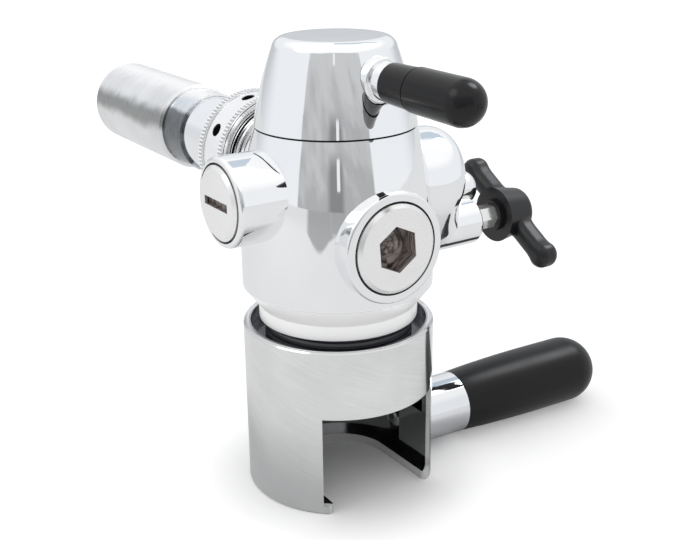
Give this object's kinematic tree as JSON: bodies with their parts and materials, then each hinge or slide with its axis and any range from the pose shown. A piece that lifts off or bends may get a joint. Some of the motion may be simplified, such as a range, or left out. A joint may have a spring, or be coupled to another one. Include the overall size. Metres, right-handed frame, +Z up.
{
  "type": "wine dispenser",
  "caption": "Counter-pressure bottle filling tap: polished valve body with a turning lever head, a helical bottle clamp with a handle, a vent knob and a rear supply tube.",
  "frame": {"origin": "on the tap's main axis, at the underside of the bottle clamp", "axes": "+Z up along the main axis, +Y back along the supply tube, +X along the clamp handle and the vent knob, so that the clamp's window faces -Y"},
  "size_m": [0.1331, 0.1944, 0.1278],
  "materials": {
    "polished_casting": "polished plating",
    "polished_trim": "polished",
    "satin_clamp": "fine turned stainless steel",
    "satin_steel": "satin",
    "satin_plug": "fine ground face",
    "tail_steel": "satin drawn tube",
    "nut_steel": "polished with fine knurled bands",
    "bronze": "machined",
    "valve_ceramic": "lapped",
    "black_rubber": "matte",
    "black_sleeve": "gloss",
    "lever_black": "gloss",
    "grip_black": "satin",
    "knob_black": "moulded"
  },
  "bodies": {
    "tap_body": {"valve_body": "polished_casting", "neck_collar": "satin_steel", "bottle_seal": "black_rubber", "spreader_nozzle": "satin_steel", "front_plug": "satin_plug", "front_plug_seal": "black_rubber", "side_plug": "satin_plug", "side_plug_seal": "black_rubber", "blind_cap": "polished_trim", "inlet_nipple": "polished_trim", "inlet_gasket": "black_rubber", "inlet_tube": "polished_trim", "tube_sleeve": "black_sleeve", "tail_tube": "tail_steel", "vent_seal": "black_rubber", "vent_gland": "bronze", "seat_disc": "valve_ceramic", "spindle_seal": "black_rubber", "spindle_gland": "bronze", "head_washer": "black_rubber"},
    "head": {"dome_head": "polished_casting", "head_spindle": "bronze", "rotor_disc": "valve_ceramic", "lever_rod": "satin_steel", "lever_collar": "polished_trim", "lever_base": "lever_black", "lever_grip": "lever_black"},
    "clamp_ring": {"lift_ring": "bronze"},
    "clamp": {"clamp_cup": "satin_clamp", "handle_stud": "satin_steel", "handle_ferrule": "polished_trim", "handle_grip": "grip_black"},
    "vent_slider": {"vent_tip": "valve_ceramic"},
    "vent_knob": {"vent_stem": "satin_steel", "wing_knob": "knob_black"},
    "nut_slider": {"nut_washer": "satin_steel"},
    "nut": {"coupling_nut": "nut_steel"}
  },
  "joints": [
    {"name": "head_turn", "type": "hinge", "parent": "tap_body", "child": "head", "pos_m": [0, 0, 0.10475], "axis": [0, 0, 1], "range_deg": [-50, 50]},
    {"name": "clamp_lift", "type": "slide", "parent": "tap_body", "child": "clamp_ring", "axis": [0, 0, 1], "range_m": [0, 0.005]},
    {"name": "clamp_turn", "type": "hinge", "parent": "clamp_ring", "child": "clamp", "pos_m": [0, 0, 0.0435], "axis": [0, 0, 1], "range_deg": [-100, 0]},
    {"name": "vent_travel", "type": "slide", "parent": "tap_body", "child": "vent_slider", "axis": [1, 0, 0], "range_m": [0, 0.00225]},
    {"name": "vent_turn", "type": "hinge", "parent": "vent_slider", "child": "vent_knob", "pos_m": [0.05, 0, 0.0688], "axis": [1, 0, 0], "range_deg": [0, 540]},
    {"name": "nut_travel", "type": "slide", "parent": "tap_body", "child": "nut_slider", "axis": [0, 1, 0], "range_m": [0, 0.008]},
    {"name": "nut_turn", "type": "hinge", "parent": "nut_slider", "child": "nut", "pos_m": [0, 0.04, 0.0885], "axis": [0, 1, 0], "range_deg": [0, 1440]}
  ],
  "couplings": [
    {"joint": "clamp_lift", "follows": "clamp_turn", "m_per_rad": -0.0028647},
    {"joint": "vent_travel", "follows": "vent_turn", "m_per_rad": 0.00023872},
    {"joint": "nut_travel", "follows": "nut_turn", "m_per_rad": 0.00031829}
  ]
}
